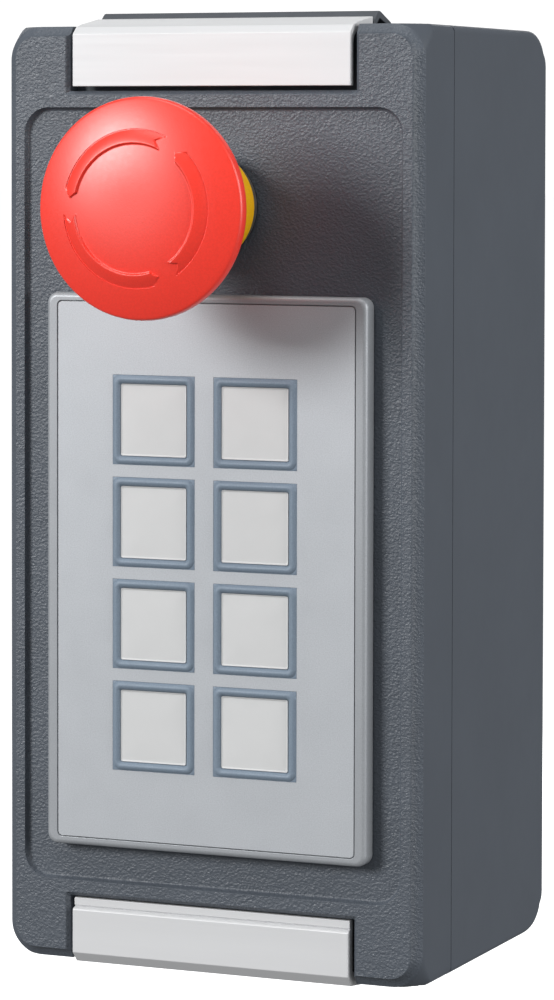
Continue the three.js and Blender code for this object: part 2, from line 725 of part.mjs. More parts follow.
add('keypad_bezel', keypadBezel(), MATERIAL.bezel)
add('keypad_foil', keypadFoil(), MATERIAL.foil)
add('keypad_gasket', keypadGasket(), MATERIAL.rubber)
add('keypad_dome_sheet', domeSheet(), MATERIAL.greyPlastic)
add('keypad_board', keypadBoard(), MATERIAL.board)
add('keypad_rear_cover', keypadCover(), MATERIAL.blackPlastic)
add('keypad_plug', keypadPlug(), MATERIAL.greenPlastic)
keyPlaces.forEach(([x, z], i) => {
  add(`key_cap_${i + 1}`, keyCap(x, z), MATERIAL.keyFrame)
  add(`key_window_${i + 1}`, keyWindow(x, z), MATERIAL.keyWindow)
})
clampPlaces.forEach(([x, z], i) => add(`keypad_clamp_${i + 1}`, keypadClamp(x, z), MATERIAL.steel))

add('estop_head', stopHead(), MATERIAL.stopRed)
add('estop_yellow_ring', stopRing(), MATERIAL.stopYellow)
add('estop_collar', stopCollar(), MATERIAL.silver)
add('estop_seal', stopSeal(), MATERIAL.rubber)
add('estop_sleeve', stopSleeve(), MATERIAL.blackPlastic)
add('estop_holder', stopHolder(), MATERIAL.blackPlastic)
add('estop_plunger', stopPlunger(), MATERIAL.blackPlastic)
add('estop_spring', stopSpring(), MATERIAL.steel)
add('estop_contact_block_1', contactBlock(-1), MATERIAL.greyPlastic)
add('estop_contact_block_2', contactBlock(1), MATERIAL.greyPlastic)

add('terminal_block', terminalBlock(), MATERIAL.greyPlastic)
add('earth_stud', earthStud(), MATERIAL.brass)
add('estop_wires', stopWires(), MATERIAL.wire)
add('keypad_wires', keypadWires(), MATERIAL.wire)

export default group
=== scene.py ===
"""Pendant control station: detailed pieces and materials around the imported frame."""

import json
import math

import bmesh
import bpy
import numpy as np
from mathutils import Matrix, Vector


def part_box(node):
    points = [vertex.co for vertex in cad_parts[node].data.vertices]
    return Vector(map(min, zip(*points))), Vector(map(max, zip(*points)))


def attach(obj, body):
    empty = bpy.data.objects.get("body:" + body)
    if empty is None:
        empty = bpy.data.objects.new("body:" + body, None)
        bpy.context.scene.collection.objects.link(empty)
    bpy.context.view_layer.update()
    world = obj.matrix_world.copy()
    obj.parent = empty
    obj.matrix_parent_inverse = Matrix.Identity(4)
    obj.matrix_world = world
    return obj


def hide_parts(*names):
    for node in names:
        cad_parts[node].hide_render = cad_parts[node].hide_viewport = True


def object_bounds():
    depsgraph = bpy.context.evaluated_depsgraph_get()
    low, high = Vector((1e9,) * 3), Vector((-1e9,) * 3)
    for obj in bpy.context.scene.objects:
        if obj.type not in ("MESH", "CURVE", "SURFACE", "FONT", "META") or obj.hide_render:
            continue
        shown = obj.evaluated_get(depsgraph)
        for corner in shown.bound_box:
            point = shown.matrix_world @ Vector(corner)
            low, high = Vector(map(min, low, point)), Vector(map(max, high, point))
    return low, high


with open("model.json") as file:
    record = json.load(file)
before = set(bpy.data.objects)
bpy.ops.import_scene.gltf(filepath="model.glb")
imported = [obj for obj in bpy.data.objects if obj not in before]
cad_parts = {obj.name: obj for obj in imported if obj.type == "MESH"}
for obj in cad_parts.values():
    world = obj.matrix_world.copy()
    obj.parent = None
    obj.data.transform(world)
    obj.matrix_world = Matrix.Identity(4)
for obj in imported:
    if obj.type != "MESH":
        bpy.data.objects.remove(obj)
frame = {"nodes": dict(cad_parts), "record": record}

MM = 0.001
CAD_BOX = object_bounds()

# ------------------------------------------------------------------ sizes from the frame


def span(node):
    """A node's box in millimetres: lowest corner, highest corner."""
    low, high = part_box(node)
    return np.array(low) / MM, np.array(high) / MM


FRONT_LO, FRONT_HI = span("front_shell")
BEZEL_LO, BEZEL_HI = span("keypad_bezel")
FOIL_LO, FOIL_HI = span("keypad_foil")
STRIP_LO, STRIP_HI = span("top_cover_strip")
RAIL_LO, RAIL_HI = span("top_rail")
PLATE_LO, PLATE_HI = span("cable_plate")
HEAD_LO, HEAD_HI = span("estop_head")
COLLAR_LO, COLLAR_HI = span("estop_collar")
RING_LO, RING_HI = span("estop_yellow_ring")
DOMES_LO, DOMES_HI = span("keypad_dome_sheet")

WIDTH = FRONT_HI[0] - FRONT_LO[0]
HEIGHT = FRONT_HI[2] - FRONT_LO[2]
FACE_Y = FRONT_LO[1]
SPLIT_Y = FRONT_HI[1]
TOP = FRONT_HI[2]
STOP_Z = (HEAD_LO[2] + HEAD_HI[2]) / 2
KEYPAD_Z = (BEZEL_LO[2] + BEZEL_HI[2]) / 2
STRIP_W = STRIP_HI[0] - STRIP_LO[0]

# ------------------------------------------------------------------ sizes shared by pieces

# The shells. CORNER_R is the corner radius at the rim of the front cove, and EDGE_R the
# radius of the long edges from front to back.
CORNER_R = 9.5
EDGE_R = 2.0
WALL = 3
END_WALL = 5.5
INSIDE_W = WIDTH - 2 * WALL
INSIDE_H = HEIGHT - 2 * END_WALL
INSIDE_R = 5
RECESS_W, RECESS_H, RECESS_DEPTH = 115.8, 220.2, 1.8
FLOOR_Y = FACE_Y + RECESS_DEPTH
SCREW_X, SCREW_Z, SCREW_HOLE_R = 36, 119.5, 2.3
CUTOUT_W = DOMES_HI[0] - DOMES_LO[0] + 2
CUTOUT_H = DOMES_HI[2] - DOMES_LO[2] + 2
CUTOUT_R = 3

CORNER_STEPS = 16


def four_places(x, z, centre_z=0.0):
    """Four places round a centre, from the bottom left."""
    return [(sx * x, centre_z + sz * z) for sx in (-1, 1) for sz in (-1, 1)]


SCREW_PLACES = four_places(SCREW_X, SCREW_Z)

# ------------------------------------------------------------------ mesh helpers


def new_object(name, mesh):
    made = bpy.data.objects.new(name, mesh)
    bpy.context.scene.collection.objects.link(made)
    return made


def mesh_from(name, vertices, faces):
    """A closed mesh in metres from points in millimetres, with its faces turned outwards."""
    mesh = bpy.data.meshes.new(name)
    mesh.from_pydata([tuple(float(c) * MM for c in v) for v in vertices], [], faces)
    mesh.validate()
    work = bmesh.new()
    work.from_mesh(mesh)
    bmesh.ops.remove_doubles(work, verts=work.verts, dist=1e-7)
    bmesh.ops.recalc_face_normals(work, faces=work.faces)
    work.to_mesh(mesh)
    work.free()
    return mesh


def outline(w, h, r, steps=CORNER_STEPS, x=0.0, z=0.0):
    """Points of a rounded rectangle in the XZ plane, anticlockwise from the front."""
    r = max(r, 0.02)
    points = []
    for quarter, (sx, sz) in enumerate([(1, 1), (-1, 1), (-1, -1), (1, -1)]):
        for i in range(steps + 1):
            angle = (quarter + i / steps) * math.pi / 2
            points.append((
                x + sx * (w / 2 - r) + r * math.cos(angle),
                z + sz * (h / 2 - r) + r * math.sin(angle),
            ))
    return points


def box_reach(angle):
    """Distance from a corner's centre to the near-sharp box, along an angle."""
    long_side = max(math.cos(angle), math.sin(angle))
    short_side = min(math.cos(angle), math.sin(angle))
    straight = CORNER_R / long_side
    box = CORNER_R - EDGE_R
    if straight * short_side <= box:
        return straight
    lean = math.cos(angle) + math.sin(angle)
    return box * lean + math.sqrt((box * lean) ** 2 - 2 * box ** 2 + EDGE_R ** 2)


def run_out(w, h, slide):
    """A front corner's arc moved out along its diagonal, cut off by the near-sharp box."""
    points = []
    for quarter, (sx, sz) in enumerate([(1, 1), (-1, 1), (-1, -1), (1, -1)]):
        for i in range(CORNER_STEPS + 1):
            angle = (i / CORNER_STEPS) * math.pi / 2
            lean = slide * (math.cos(angle) + math.sin(angle))
            moved = lean + math.sqrt(lean ** 2 - 2 * slide ** 2 + CORNER_R ** 2)
            reach = min(moved, box_reach(angle))
            turn = angle + quarter * math.pi / 2
            points.append((
                sx * (w / 2 - CORNER_R) + reach * math.cos(turn),
                sz * (h / 2 - CORNER_R) + reach * math.sin(turn),
            ))
    return points


def skin(name, sections, closed=False):
    """A solid through sections (y, points). A closed one runs back to its first section."""
    vertices, faces = [], []
    count = len(sections[0][1])
    for y, points in sections:
        vertices += [(x, y, z) for x, z in points]
    last = len(sections) if closed else len(sections) - 1
    for k in range(last):
        a0, b0 = k * count, ((k + 1) % len(sections)) * count
        for i in range(count):
            j = (i + 1) % count
            faces.append((a0 + i, a0 + j, b0 + j, b0 + i))
    if not closed:
        faces.append(tuple(reversed(range(count))))
        faces.append(tuple((len(sections) - 1) * count + i for i in range(count)))
    return new_object(name, mesh_from(name, vertices, faces))


def loft(name, rings, steps=CORNER_STEPS, x=0.0, z=0.0, closed=False):
    """A solid through rounded rectangles (w, h, r, y)."""
    sections = [(y, outline(w, h, r, steps, x, z)) for w, h, r, y in rings]
    return skin(name, sections, closed)


def slab(name, w, h, r, y0, y1, steps=CORNER_STEPS, x=0.0, z=0.0):
    return loft(name, [(w, h, r, y0), (w, h, r, y1)], steps, x, z)


def block(name, low, high):
    """A box between two corners in millimetres."""
    corners = [(high[0], high[2]), (low[0], high[2]), (low[0], low[2]), (high[0], low[2])]
    return skin(name, [(y, corners) for y in (low[1], high[1])])


def turned(name, profile, segments=96, x=0.0, z=0.0):
    """A solid of revolution about a line along Y; its profile is (radius, y)."""
    vertices, faces, rows = [], [], []
    for radius, y in profile:
        if radius < 1e-6:
            rows.append([len(vertices)] * segments)
            vertices.append((x, y, z))
            continue
        rows.append(list(range(len(vertices), len(vertices) + segments)))
        for i in range(segments):
            angle = 2 * math.pi * i / segments
            vertices.append((x + radius * math.cos(angle), y, z + radius * math.sin(angle)))
    on_axis = profile[0][0] < 1e-6 and profile[-1][0] < 1e-6
    pairs = list(zip(rows, rows[1:])) + ([] if on_axis else [(rows[-1], rows[0])])
    for a, b in pairs:
        for i in range(segments):
            j = (i + 1) % segments
            corners = list(dict.fromkeys((a[i], a[j], b[j], b[i])))
            if len(corners) > 2:
                faces.append(tuple(corners))
    return new_object(name, mesh_from(name, vertices, faces))


def rod(name, radius, y0, y1, segments, x=0.0, z=0.0):
    """A cylinder along Y."""
    return turned(name, [(0, y0), (radius, y0), (radius, y1), (0, y1)], segments, x, z)


def bar(name, section, x0, x1, mirror=False):
    """A bar along X with a (y, z) section."""
    side = -1 if mirror else 1
    count = len(section)
    vertices = [(x, y, side * z) for x in (x0, x1) for y, z in section]
    faces = [tuple(range(count)), tuple(count + i for i in range(count))]
    faces += [(i, (i + 1) % count, count + (i + 1) % count, count + i) for i in range(count)]
    return new_object(name, mesh_from(name, vertices, faces))


def arc(cx, cy, r, start, end, steps):
    """Points on an arc, its angles in degrees."""
    angles = [math.radians(start + (end - start) * i / steps) for i in range(steps + 1)]
    return [(cx + r * math.cos(a), cy + r * math.sin(a)) for a in angles]


def settle(piece):
    """Turns a piece's modifiers into plain mesh."""
    graph = bpy.context.evaluated_depsgraph_get()
    mesh = bpy.data.meshes.new_from_object(piece.evaluated_get(graph))
    old = piece.data
    piece.modifiers.clear()
    piece.data = mesh
    mesh.name = piece.name
    if old.users == 0:
        bpy.data.meshes.remove(old)


def carve(piece, *cutters):
    """Cuts the cutters out of a piece and removes them."""
    for cutter in cutters:
        change = piece.modifiers.new("cut", "BOOLEAN")
        change.operation = "DIFFERENCE"
        change.solver = "EXACT"
        change.object = cutter
    settle(piece)
    for cutter in cutters:
        bpy.data.objects.remove(cutter, do_unlink=True)


def weld(piece, *others):
    """Joins other solids to a piece."""
    for other in others:
        change = piece.modifiers.new("join", "BOOLEAN")
        change.operation = "UNION"
        change.solver = "EXACT"
        change.object = other
    settle(piece)
    for other in others:
        bpy.data.objects.remove(other, do_unlink=True)


def soften(piece, width, segments=3, angle=32):
    """Rounds a piece's sharp edges and shades it smoothly."""
    clean = bmesh.new()
    clean.from_mesh(piece.data)
    bmesh.ops.remove_doubles(clean, verts=clean.verts, dist=2e-6)
    bmesh.ops.dissolve_degenerate(clean, dist=1e-6, edges=clean.edges)
    clean.to_mesh(piece.data)
    clean.free()
    if width:
        round_off = piece.modifiers.new("round", "BEVEL")
        round_off.width = width * MM
        round_off.segments = segments
        round_off.limit_method = "ANGLE"
        round_off.angle_limit = math.radians(angle)
        round_off.use_clamp_overlap = True
        round_off.miter_outer = "MITER_ARC"
        settle(piece)
    piece.data.shade_smooth()
    piece.data.set_sharp_from_angle(angle=math.radians(40))
    weights = piece.modifiers.new("normals", "WEIGHTED_NORMAL")
    weights.keep_sharp = True
    weights.weight = 80
    settle(piece)


# ------------------------------------------------------------------ materials


class Paint:
    """Builds one procedural material around a Principled shader."""

    def __init__(self, name, roughness, metallic=0.0, specular=0.5):
        self.material = bpy.data.materials.new(name)
        self.material.use_nodes = True
        self.tree = self.material.node_tree
        self.shader = self.tree.nodes["Principled BSDF"]
        self.shader.inputs["Metallic"].default_value = metallic
        self.shader.inputs["Specular IOR Level"].default_value = specular
        self.shader.inputs["Roughness"].default_value = roughness
        self.place = self.tree.nodes.new("ShaderNodeTexCoord").outputs["Object"]
        self.relief = None

    def stretched(self, scale):
        mapping = self.tree.nodes.new("ShaderNodeMapping")
        mapping.inputs["Scale"].default_value = scale
        self.tree.links.new(self.place, mapping.inputs["Vector"])
        return mapping.outputs["Vector"]

    def noise(self, scale, detail=3.0, stretch=(1, 1, 1)):
        node = self.tree.nodes.new("ShaderNodeTexNoise")
        node.inputs["Scale"].default_value = scale
        node.inputs["Detail"].default_value = detail
        node.inputs["Roughness"].default_value = 0.55
        self.tree.links.new(self.stretched(stretch), node.inputs["Vector"])
        return node.outputs["Fac"]

    def cells(self, scale, stretch):
        node = self.tree.nodes.new("ShaderNodeTexVoronoi")
        node.feature = "SMOOTH_F1"
        node.inputs["Scale"].default_value = scale
        node.inputs["Smoothness"].default_value = 0.6
        self.tree.links.new(self.stretched(stretch), node.inputs["Vector"])
        return node.outputs["Distance"]

    def colour(self, source, stops):
        ramp = self.tree.nodes.new("ShaderNodeValToRGB")
        while len(ramp.color_ramp.elements) < len(stops):
            ramp.color_ramp.elements.new(0.5)
        for element, (position, value) in zip(ramp.color_ramp.elements, stops):
            element.position = position
            element.color = (*value, 1)
        self.tree.links.new(source, ramp.inputs["Fac"])
        self.tree.links.new(ramp.outputs["Color"], self.shader.inputs["Base Color"])
        return self

    def polish(self, source, low, high):
        """Roughness between low and high over the source's middle range."""
        spread = self.tree.nodes.new("ShaderNodeMapRange")
        spread.inputs["From Min"].default_value = 0.3
        spread.inputs["From Max"].default_value = 0.7
        spread.inputs["To Min"].default_value = low
        spread.inputs["To Max"].default_value = high
        self.tree.links.new(source, spread.inputs["Value"])
        self.tree.links.new(spread.outputs["Result"], self.shader.inputs["Roughness"])
        return self

    def bump(self, source, depth_mm, strength=1.0):
        node = self.tree.nodes.new("ShaderNodeBump")
        node.inputs["Strength"].default_value = strength
        node.inputs["Distance"].default_value = depth_mm * MM
        self.tree.links.new(source, node.inputs["Height"])
        if self.relief is not None:
            self.tree.links.new(self.relief, node.inputs["Normal"])
        self.relief = node.outputs["Normal"]
        self.tree.links.new(self.relief, self.shader.inputs["Normal"])
        return self


def around(colour, spread):
    """Two stops a little darker and lighter than a colour."""
    dark = tuple(c * (1 - spread) for c in colour)
    light = tuple(min(c * (1 + spread), 1) for c in colour)
    return [(0.35, dark), (0.65, light)]


def powder_coat():
    """Grained anthracite powder coat of the front."""
    paint = Paint("powder_coat", 0.5, specular=0.5)
    paint.colour(paint.noise(60, 4), around((0.085, 0.099, 0.12), 0.05))
    paint.polish(paint.noise(900, 2), 0.36, 0.5)
    paint.bump(paint.noise(1200, 2, (1.0, 1.0, 1.2)), 0.32, 1.0)
    return paint.material


def satin_coat(name, colour):
    """The same paint over smooth metal."""
    paint = Paint(name, 0.5, specular=0.4)
    paint.colour(paint.noise(40, 3), around(colour, 0.025))
    paint.polish(paint.noise(70, 3), 0.48, 0.56)
    paint.bump(paint.noise(2600, 2), 0.012, 0.5)
    return paint.material


def satin_aluminium():
    paint = Paint("satin_aluminium", 0.5, metallic=0.15, specular=0.4)
    paint.colour(paint.noise(90, 4, (0.06, 1, 1)), around((0.7, 0.705, 0.715), 0.02))
    paint.polish(paint.noise(900, 3, (0.02, 1, 1)), 0.46, 0.56)
    paint.bump(paint.noise(2400, 3, (0.02, 1, 1)), 0.01, 0.5)
    return paint.material


def bezel_paint():
    paint = Paint("bezel_paint", 0.42, metallic=0.25, specular=0.5)
    paint.colour(paint.noise(2500, 2), around((0.37, 0.388, 0.41), 0.06))
    paint.polish(paint.noise(120, 3), 0.38, 0.46)
    paint.bump(paint.noise(2400, 2), 0.012, 0.5)
    return paint.material


def foil_print():
    paint = Paint("foil_print", 0.42, metallic=0.2, specular=0.5)
    paint.colour(paint.noise(3000, 2), around((0.5, 0.522, 0.55), 0.07))
    paint.polish(paint.noise(90, 3), 0.38, 0.46)
    paint.bump(paint.noise(3200, 2), 0.008, 0.5)
    return paint.material


def key_print():
    paint = Paint("key_print", 0.5, metallic=0.05, specular=0.4)
    paint.colour(paint.noise(2600, 2), around((0.2, 0.255, 0.32), 0.07))
    paint.polish(paint.noise(200, 3), 0.46, 0.56)
    paint.bump(paint.noise(2800, 2), 0.01, 0.5)
    return paint.material


def key_lens():
    paint = Paint("key_lens", 0.5, specular=0.45)
    paint.colour(paint.noise(60, 3), around((0.66, 0.665, 0.665), 0.015))
    paint.polish(paint.noise(160, 3), 0.44, 0.54)
    paint.bump(paint.noise(2600, 2), 0.006, 0.5)
    paint.shader.inputs["Subsurface Weight"].default_value = 0.15
    paint.shader.inputs["Subsurface Radius"].default_value = (1.0, 1.0, 1.0)
    paint.shader.inputs["Subsurface Scale"].default_value = 0.001
    return paint.material


def signal_plastic(name, colour, coat=0.0):
    paint = Paint(name, 0.42, specular=0.5)
    paint.colour(paint.noise(1800, 2), around(colour, 0.04))
    paint.polish(paint.noise(900, 2), 0.38, 0.48)
    paint.bump(paint.noise(2400, 2), 0.045, 0.8)
    paint.shader.inputs["Coat Weight"].default_value = coat
    paint.shader.inputs["Coat Roughness"].default_value = 0.33
    return paint.material


def plain_plastic(name, colour, roughness=0.5):
    paint = Paint(name, roughness, specular=0.45)
    paint.colour(paint.noise(150, 3), around(colour, 0.06))
    paint.polish(paint.noise(500, 2), roughness - 0.05, roughness + 0.06)
    paint.bump(paint.noise(2200, 2), 0.012, 0.5)
    return paint.material


def bare_metal(name, colour, low, high):
    """Bare metal with a roughness between low and high."""
    paint = Paint(name, (low + high) / 2, metallic=1.0)
    paint.colour(paint.noise(200, 3), around(colour, 0.05))
    paint.polish(paint.noise(700, 3), low, high)
    paint.bump(paint.noise(1800, 2), 0.01, 0.4)
    return paint.material


def board_mask():
    """Solder mask with a faint pattern of copper under it."""
    paint = Paint("board_mask", 0.35, specular=0.5)
    copper = [(0.1, (0.012, 0.11, 0.05)), (0.5, (0.02, 0.19, 0.09))]
    paint.colour(paint.cells(260, (1, 1, 0.3)), copper)
    paint.polish(paint.noise(300, 2), 0.3, 0.42)
    paint.bump(paint.cells(260, (1, 1, 0.3)), 0.03, 0.5)
    return paint.material


MATERIALS = {
    "grain": powder_coat(),
    "housing": satin_coat("satin_coat_front", (0.08, 0.093, 0.113)),
    # The rear copy of the satin paint is a touch lighter than the front's: painted light for the
    # brighter light on the rear side.
    "housing_rear": satin_coat("satin_coat_rear_lit", (0.082, 0.095, 0.115)),
    "rail": plain_plastic("rail_paint", (0.075, 0.083, 0.095), 0.55),
    "satin_aluminium": satin_aluminium(),
    "keypad_bezel": bezel_paint(),
    "keypad_foil": foil_print(),
    "key_frame": key_print(),
    "key_window": key_lens(),
    "signal_red": signal_plastic("signal_red", (0.97, 0.034, 0.014), 0.8),
    "signal_yellow": signal_plastic("signal_yellow", (0.8, 0.42, 0.0)),
    # The collar's silver is painted darker and warmer than bare silver: painted shade from the head
    # above it, and a painted yellow reflection of the ring.
    "matte_silver": bare_metal("matte_silver", (0.36, 0.34, 0.3), 0.4, 0.55),
    "rubber": plain_plastic("black_rubber", (0.012, 0.012, 0.013), 0.75),
    "steel": bare_metal("zinc_plate", (0.6, 0.61, 0.62), 0.24, 0.4),
    "brass": bare_metal("brass", (0.72, 0.54, 0.24), 0.22, 0.36),
    "black_plastic": plain_plastic("black_plastic", (0.022, 0.023, 0.025)),
    "grey_plastic": plain_plastic("grey_plastic", (0.28, 0.3, 0.31)),
    "green_plastic": plain_plastic("green_plastic", (0.04, 0.2, 0.09)),
    "circuit_board": board_mask(),
    "wire": plain_plastic("wire_sheath", (0.015, 0.03, 0.2), 0.42),
}


def finish(piece, material, node, body="enclosure"):
    """Gives a piece its material, and has it stand for a CAD node on a body."""
    piece.data.materials.clear()
    piece.data.materials.append(MATERIALS[material])
    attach(piece, body)
    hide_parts(node)


# ------------------------------------------------------------------ camera

# The camera's place is set by the photograph's viewing angle, from the rear face's centre.
CAMERA_PLACE = (0.4568, -1.1150, 0.1021)
CAMERA_TURN = 23.404  # degrees from straight ahead, seen from above
CAMERA_TILT = 2.369  # degrees down
CAMERA_ROLL = 0.115
LONG_SIDE_PX = 1000
FOCAL_PX = 3964.5
SENSOR_MM = 36
CAMERA_SHIFT = -0.2


def make_camera():
    data = bpy.data.cameras.new("camera")
    data.sensor_width = SENSOR_MM
    data.lens = FOCAL_PX * SENSOR_MM / LONG_SIDE_PX
    data.shift_y = CAMERA_SHIFT
    data.clip_start = 0.05
    data.clip_end = 50
    camera = bpy.data.objects.new("camera", data)
    turn, tilt = math.radians(CAMERA_TURN), math.radians(CAMERA_TILT)
    ahead = Vector((
        -math.sin(turn) * math.cos(tilt),
        math.cos(turn) * math.cos(tilt),
        -math.sin(tilt),
    ))
    right = Vector((math.cos(turn), math.sin(turn), 0))
    up = right.cross(ahead)
    roll = math.radians(CAMERA_ROLL)
    axis_x = right * math.cos(roll) + up * math.sin(roll)
    axis_y = up * math.cos(roll) - right * math.sin(roll)
    axes = Matrix((axis_x, axis_y, -ahead)).transposed().to_4x4()
    camera.matrix_world = Matrix.Translation(CAMERA_PLACE) @ axes
    bpy.context.scene.collection.objects.link(camera)
    bpy.context.scene.camera = camera


make_camera()

# ------------------------------------------------------------------ housing

# The cove from the face's edge to the side, as (inset, depth behind the face).
COVE_SECTION = [(2.8, 0.0), (2.72, 0.32), (2.55, 0.68), (2.3, 1.02), (1.95, 1.38)]
COVE_SECTION += [(1.5, 1.76), (1.0, 2.13), (0.5, 2.46), (0.0, 2.75)]
COVE_CORNER = 1.2  # how much the corner radius drops for each millimetre of inset
GRAIN_DEPTH = 2.6  # the grained paint ends at this depth
CORNER_RUN = 8.3  # depth over which the corner's arc moves out to the long edges
CORNER_SLIDE = 2.9
RUN_STEPS = 10

# The recess from its edge to its floor, as (inset, corner radius, depth).
RECESS_SECTION = [(-0.5, 8.0, -1), (0, 7.5, 0), (0.35, 7.2, 0.9), (0.5, 7.1, 1.35)]
RECESS_SECTION += [(0.75, 6.9, 1.66), (1.15, 6.5, RECESS_DEPTH)]

POCKET_MARGIN = 1.3
POCKET_Z = STRIP_LO[2] - POCKET_MARGIN
POCKET_HALF = STRIP_W / 2 + POCKET_MARGIN
POCKET_BACK_Y = FACE_Y + 6
POCKET_BEVEL = 1.1
CHANNEL_Z = 131.2
CHANNEL_BACK_Y = -88.3
BEYOND_Z = TOP + 4  # past the housing's top, for cutters

DEEP_H = 222  # height of the hollow between the screw pockets
STOP_HOLE_R = 11.15
LOW_STEPS = 6  # corner steps of inside shapes


def strip_pocket(side):
    """Cutter for the pocket and channel that a cover strip lies in."""
    section = [
        (FACE_Y - 2, POCKET_Z),
        (POCKET_BACK_Y, POCKET_Z),
        (POCKET_BACK_Y, CHANNEL_Z),
        (CHANNEL_BACK_Y, CHANNEL_Z),
        (CHANNEL_BACK_Y, BEYOND_Z),
        (FACE_Y - 2, BEYOND_Z),
    ]
    return bar("pocket", section, -POCKET_HALF, POCKET_HALF, mirror=side < 0)


def pocket_chamfer(side):
    """Cutter for the bevelled edge of a strip's pocket."""
    w, h = 2 * POCKET_HALF, BEYOND_Z - POCKET_Z
    z = side * (BEYOND_Z + POCKET_Z) / 2
    grown = 2 * (POCKET_BEVEL + 1)
    rings = [(w + grown, h + grown, 1.0, FACE_Y - 1), (w, h, 0.3, FACE_Y + POCKET_BEVEL)]
    return loft("pocket_bevel", rings, LOW_STEPS, z=z)


def front_body():
    """The front shell's outside, as a solid."""
    sections = []
    for inset, depth in COVE_SECTION:
        radius = CORNER_R - inset * COVE_CORNER
        ring = outline(WIDTH - 2 * inset, HEIGHT - 2 * inset, radius)
        sections.append((FACE_Y + depth, ring))
    rim_y = sections[-1][0]
    for i in range(1, RUN_STEPS + 1):
        part = i / RUN_STEPS
        ring = run_out(WIDTH, HEIGHT, CORNER_SLIDE * part)
        sections.append((rim_y + CORNER_RUN * part, ring))
    sections.append((SPLIT_Y, run_out(WIDTH, HEIGHT, CORNER_SLIDE)))
    return skin("front_shell_body", sections)


def front_shell():
    shell = front_body()
    recess = loft("recess", [
        (RECESS_W - 2 * inset, RECESS_H - 2 * inset, radius, FACE_Y + depth)
        for inset, radius, depth in RECESS_SECTION
    ])
    hollow_y, deep_y = POCKET_BACK_Y + 2.5, POCKET_BACK_Y + WALL
    hollow = slab("hollow", INSIDE_W, INSIDE_H, INSIDE_R, hollow_y, SPLIT_Y + 1, LOW_STEPS)
    deep = slab("deep", INSIDE_W, DEEP_H, INSIDE_R, FLOOR_Y + WALL, deep_y, LOW_STEPS)
    through = (FACE_Y - 2, SPLIT_Y + 2)
    cutout = slab("cutout", CUTOUT_W, CUTOUT_H, CUTOUT_R, *through, LOW_STEPS, z=KEYPAD_Z)
    stop_hole = rod("hole", STOP_HOLE_R, FACE_Y - 2, SPLIT_Y, 64, z=STOP_Z)
    screws = [rod("screw_hole", SCREW_HOLE_R, -120, -90, 24, x, z) for x, z in SCREW_PLACES]
    pockets = [strip_pocket(1), strip_pocket(-1)]
    carve(shell, recess, hollow, deep, cutout, stop_hole, *pockets, *screws)
    carve(shell, pocket_chamfer(1), pocket_chamfer(-1))
    soften(shell, 0.3)
    finish(shell, "housing", "front_shell")
    shell.data.materials.append(MATERIALS["grain"])
    for face in shell.data.polygons:
        if face.center.y < (FACE_Y + GRAIN_DEPTH) * MM:
            face.material_index = 1


PARTING_GAP = 0.3
REAR_FILLET = 8
REAR_CORNER_R = 10
REAR_CORNER_RUN = 13  # depth over which the long edges widen into the rear corners
REAR_CORNER_DROP = 0.35  # how much the corner radius drops for each millimetre of inset
REAR_STEPS = 12
POST_R, BOSS_R, MOUNT_THREAD_R = 4.2, 6, 2.5
MOUNT_PLACES = four_places(37.5, 37.5)
PLATE_Z = (PLATE_LO[2] + PLATE_HI[2]) / 2
PLATE_W, PLATE_H = PLATE_HI[0] - PLATE_LO[0], PLATE_HI[2] - PLATE_LO[2]
PLATE_R = 3
PLATE_THREAD_R = 1.6
PLATE_SCREW_PLACES = four_places(25, 12, PLATE_Z)
ENTRY_W, ENTRY_H = 40, 20


def rear_body():
    """The rear shell's outside, as a solid."""
    rings = [(WIDTH, HEIGHT, EDGE_R, SPLIT_Y + PARTING_GAP)]
    for i in range(REAR_STEPS + 1):
        bend = math.radians(90 * i / REAR_STEPS)
        radius = EDGE_R + (REAR_CORNER_R - EDGE_R) * (1 - math.cos(bend))
        y = -REAR_FILLET - REAR_CORNER_RUN * (1 - math.sin(bend))
        rings.append((WIDTH, HEIGHT, radius, y))
    for i in range(1, REAR_STEPS + 1):
        angle = math.radians(90 * i / REAR_STEPS)
        inset = REAR_FILLET * (1 - math.cos(angle))
        radius = REAR_CORNER_R - inset * REAR_CORNER_DROP
        y = -REAR_FILLET * (1 - math.sin(angle))
        rings.append((WIDTH - 2 * inset, HEIGHT - 2 * inset, radius, y))
    return loft("rear_shell_body", rings)


def rear_shell():
    shell = rear_body()
    carve(shell, loft("hollow", [
        (INSIDE_W, INSIDE_H, INSIDE_R, SPLIT_Y - 1),
        (INSIDE_W, INSIDE_H, INSIDE_R, -REAR_FILLET),
        (INSIDE_W - 8, INSIDE_H - 8, 3, -WALL),
    ], LOW_STEPS))
    land = slab("land", PLATE_W + 8, PLATE_H + 8, 4, -6.5, -1, LOW_STEPS, z=PLATE_Z)
    bodies = []
    for screw, mount in zip(SCREW_PLACES, MOUNT_PLACES):
        bodies.append(rod("post", POST_R, POCKET_BACK_Y + 2.8, -1, 24, *screw))
        bodies.append(rod("boss", BOSS_R, -13, -1, 32, *mount))
    weld(shell, land, *bodies)
    cutters = [
        slab("seat", PLATE_W + 0.8, PLATE_H + 0.8, PLATE_R, -3.2, 1, 8, z=PLATE_Z),
        slab("entry", ENTRY_W, ENTRY_H, 3, -20, 1, 8, z=PLATE_Z),
    ]
    for mount, plate_screw, screw in zip(MOUNT_PLACES, PLATE_SCREW_PLACES, SCREW_PLACES):
        cutters.append(rod("thread", MOUNT_THREAD_R, -10, 1, 32, *mount))
        cutters.append(rod("thread", PLATE_THREAD_R, -7.5, 1, 20, *plate_screw))
        cutters.append(rod("socket", SCREW_HOLE_R, -120, -80, 20, *screw))
    carve(shell, *cutters)
    soften(shell, 0.35)
    # Its paint is the front's satin made a touch lighter, as painted light for the rear side.
    finish(shell, "housing_rear", "rear_shell")


